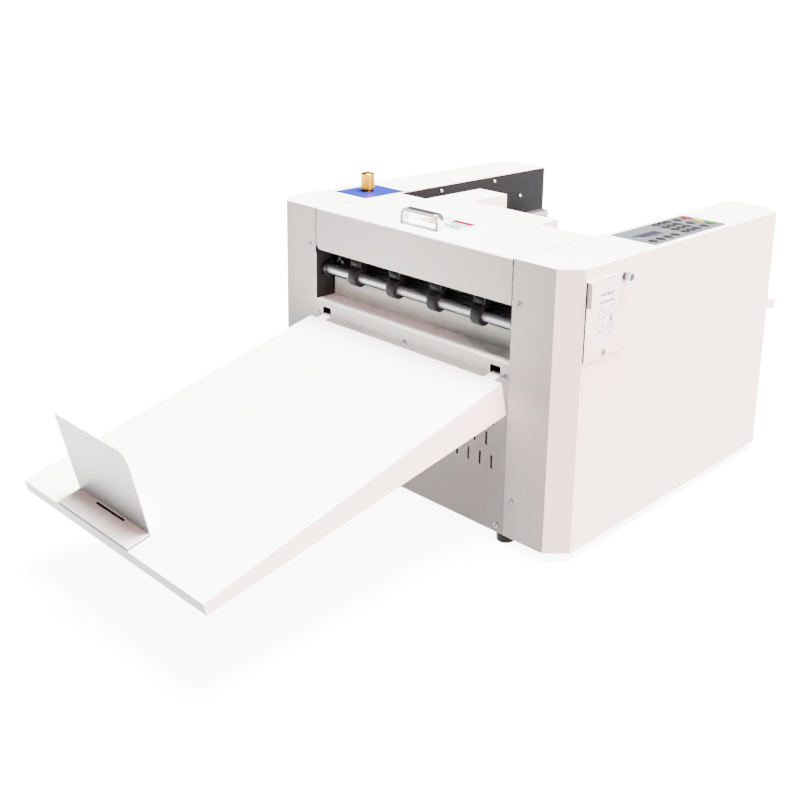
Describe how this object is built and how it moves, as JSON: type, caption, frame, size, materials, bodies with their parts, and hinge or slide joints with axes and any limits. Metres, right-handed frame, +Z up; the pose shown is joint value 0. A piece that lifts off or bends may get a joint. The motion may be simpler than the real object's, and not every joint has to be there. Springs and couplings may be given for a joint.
{
  "type": "desktop paper creasing machine",
  "caption": "Desktop paper creasing machine with a hinged top cover, roller delivery, sloping sheet trays front and rear, a sliding paper stop, side guides and a keypad.",
  "frame": {"origin": "on the desk, under the middle of the footprint of the machine with both trays", "axes": "+X to the right as seen from the delivery side, +Y from the delivery tray towards the feed tray, +Z up"},
  "size_m": [0.5625, 1.1916, 0.4135],
  "materials": {
    "white_paint": "satin powder coat",
    "charcoal_paint": "satin powder coat",
    "black_paint": "satin powder coat",
    "grey_paint": "satin powder coat",
    "bright_steel": "turned and brushed",
    "brass": "turned and knurled",
    "foot_rubber": "matte",
    "roller_rubber": "ground matte",
    "belt_rubber": "matte",
    "magnet_sheet": "matte",
    "blue_plate": "satin",
    "silver_panel": "printed foil",
    "display": "gloss",
    "black_keys": "embossed foil",
    "black_plastic": "moulded",
    "red_plastic": "moulded",
    "yellow_plastic": "moulded",
    "green_plastic": "moulded"
  },
  "bodies": {
    "machine": {"base_pan": "charcoal_paint", "left_frame": "charcoal_paint", "right_frame": "charcoal_paint", "left_casing": "white_paint", "right_casing": "white_paint", "front_panel": "white_paint", "rear_panel": "white_paint", "feed_bed": "white_paint", "feed_hood": "white_paint", "hinge_beam": "charcoal_paint", "feet": "foot_rubber", "case_screws": "bright_steel", "scale_plate": "blue_plate", "keypad_panel": "silver_panel", "display_window": "display", "number_keys": "black_keys", "power_inlet": "black_plastic", "beam_hinge_leaves": "bright_steel", "shaft_bearings": "bright_steel", "idler_bracket": "black_paint", "exit_guide": "black_paint", "crease_die": "bright_steel", "separator_pad": "roller_rubber", "feed_tray": "white_paint", "drive_motor": "black_paint", "drive_belt": "belt_rubber", "crease_motor": "black_paint"},
    "cover": {"top_cover": "white_paint", "cover_handle": "bright_steel", "cover_hinge_leaves": "bright_steel"},
    "access_plate": {"access_plate": "white_paint"},
    "thumbscrew": {"thumbscrew": "bright_steel"},
    "knob": {"adjust_knob": "brass", "knob_spindle": "bright_steel"},
    "rocker": {"power_rocker": "red_plastic"},
    "exit_roll": {"exit_shaft": "bright_steel", "exit_rollers": "roller_rubber", "exit_pulley": "bright_steel"},
    "idlers": {"exit_idlers": "black_plastic"},
    "entry_roll": {"entry_shaft": "bright_steel", "entry_rollers": "roller_rubber", "entry_pulley": "bright_steel"},
    "press_roll": {"press_roller": "bright_steel"},
    "motor_roll": {"motor_pulley": "bright_steel"},
    "crease_head": {"crease_beam": "bright_steel", "crease_blade": "bright_steel"},
    "cam_roll": {"camshaft": "bright_steel", "lift_cams": "bright_steel"},
    "feed_roll": {"feed_shaft": "bright_steel", "feed_rollers": "roller_rubber"},
    "pick_arm": {"pickup_arm": "black_plastic"},
    "pick_roll": {"pickup_roller": "roller_rubber"},
    "left_guide": {"left_guide": "grey_paint"},
    "right_guide": {"right_guide": "grey_paint"},
    "tray": {"exit_tray": "white_paint"},
    "stop": {"paper_stop": "grey_paint", "stop_magnet": "magnet_sheet"},
    "start_key": {"start_key": "green_plastic"},
    "stop_key": {"stop_key": "yellow_plastic"},
    "reset_key": {"reset_key": "red_plastic"}
  },
  "joints": [
    {"name": "cover_hinge", "type": "hinge", "parent": "machine", "child": "cover", "pos_m": [0, 0.05021, 0.379], "axis": [-1, 0, 0], "range_deg": [0, 80]},
    {"name": "access_swing", "type": "hinge", "parent": "machine", "child": "access_plate", "pos_m": [0.276, -0.08029, 0.271], "axis": [1, 0, 0], "range_deg": [0, 90]},
    {"name": "thumbscrew_turn", "type": "hinge", "parent": "machine", "child": "thumbscrew", "pos_m": [0.28, -0.04429, 0.3615], "axis": [1, 0, 0], "range_deg": [-360, 360]},
    {"name": "knob_turn", "type": "hinge", "parent": "machine", "child": "knob", "pos_m": [-0.224, -0.01079, 0.383], "axis": [0, 0, 1], "range_deg": [-360, 360]},
    {"name": "power_switch", "type": "hinge", "parent": "machine", "child": "rocker", "pos_m": [-0.135, 0.37721, 0.071], "axis": [1, 0, 0], "range_deg": [0, 14]},
    {"name": "exit_spin", "type": "hinge", "parent": "machine", "child": "exit_roll", "pos_m": [0, -0.12629, 0.291], "axis": [1, 0, 0], "continuous": true},
    {"name": "idler_spin", "type": "hinge", "parent": "machine", "child": "idlers", "pos_m": [0, -0.12629, 0.3103], "axis": [1, 0, 0], "continuous": true},
    {"name": "entry_spin", "type": "hinge", "parent": "machine", "child": "entry_roll", "pos_m": [0, -0.02929, 0.291], "axis": [1, 0, 0], "continuous": true},
    {"name": "press_spin", "type": "hinge", "parent": "machine", "child": "press_roll", "pos_m": [0, -0.02929, 0.3128], "axis": [1, 0, 0], "continuous": true},
    {"name": "motor_spin", "type": "hinge", "parent": "machine", "child": "motor_roll", "pos_m": [0, -0.07729, 0.198], "axis": [1, 0, 0], "continuous": true},
    {"name": "cam_turn", "type": "hinge", "parent": "machine", "child": "cam_roll", "pos_m": [0, -0.07929, 0.34805], "axis": [1, 0, 0], "range_deg": [0, 150]},
    {"name": "crease_slide", "type": "slide", "parent": "machine", "child": "crease_head", "axis": [0, 0, 1], "range_m": [-0.003, 0], "stiffness_N_per_m": 3000, "springref_m": 0.008},
    {"name": "feed_spin", "type": "hinge", "parent": "machine", "child": "feed_roll", "pos_m": [0, 0.04271, 0.321], "axis": [1, 0, 0], "continuous": true},
    {"name": "pick_arm_swing", "type": "hinge", "parent": "machine", "child": "pick_arm", "pos_m": [-0.099, 0.04271, 0.321], "axis": [1, 0, 0], "range_deg": [0, 8]},
    {"name": "pick_spin", "type": "hinge", "parent": "pick_arm", "child": "pick_roll", "pos_m": [-0.099, 0.11471, 0.30344], "axis": [1, 0, 0], "continuous": true},
    {"name": "left_guide_slide", "type": "slide", "parent": "machine", "child": "left_guide", "axis": [1, 0, 0], "range_m": [-0.012, 0.085]},
    {"name": "right_guide_slide", "type": "slide", "parent": "machine", "child": "right_guide", "axis": [1, 0, 0], "range_m": [-0.085, 0.012]},
    {"name": "tray_tilt", "type": "hinge", "parent": "machine", "child": "tray", "pos_m": [0, -0.14729, 0.226], "axis": [-1, 0, 0], "range_deg": [0, 15]},
    {"name": "stop_slide", "type": "slide", "parent": "tray", "child": "stop", "axis": [0, 0.9707, 0.2402], "range_m": [0, 0.36]},
    {"name": "start_press", "type": "slide", "parent": "machine", "child": "start_key", "axis": [0, 0, -1], "range_m": [0, 0.0005], "stiffness_N_per_m": 500, "springref_m": -0.0005},
    {"name": "stop_press", "type": "slide", "parent": "machine", "child": "stop_key", "axis": [0, 0, -1], "range_m": [0, 0.0005], "stiffness_N_per_m": 500, "springref_m": -0.0005},
    {"name": "reset_press", "type": "slide", "parent": "machine", "child": "reset_key", "axis": [0, 0, -1], "range_m": [0, 0.0005], "stiffness_N_per_m": 500, "springref_m": -0.0005}
  ],
  "couplings": [
    {"joint": "idler_spin", "follows": "exit_spin", "ratio": -2.4545},
    {"joint": "entry_spin", "follows": "exit_spin", "ratio": 1},
    {"joint": "press_spin", "follows": "exit_spin", "ratio": -1.6875},
    {"joint": "motor_spin", "follows": "exit_spin", "ratio": 1},
    {"joint": "cam_turn", "follows": "crease_slide", "rad_per_m": -872.66},
    {"joint": "pick_spin", "follows": "feed_spin", "ratio": 1.1429},
    {"joint": "right_guide_slide", "follows": "left_guide_slide", "ratio": -1}
  ]
}
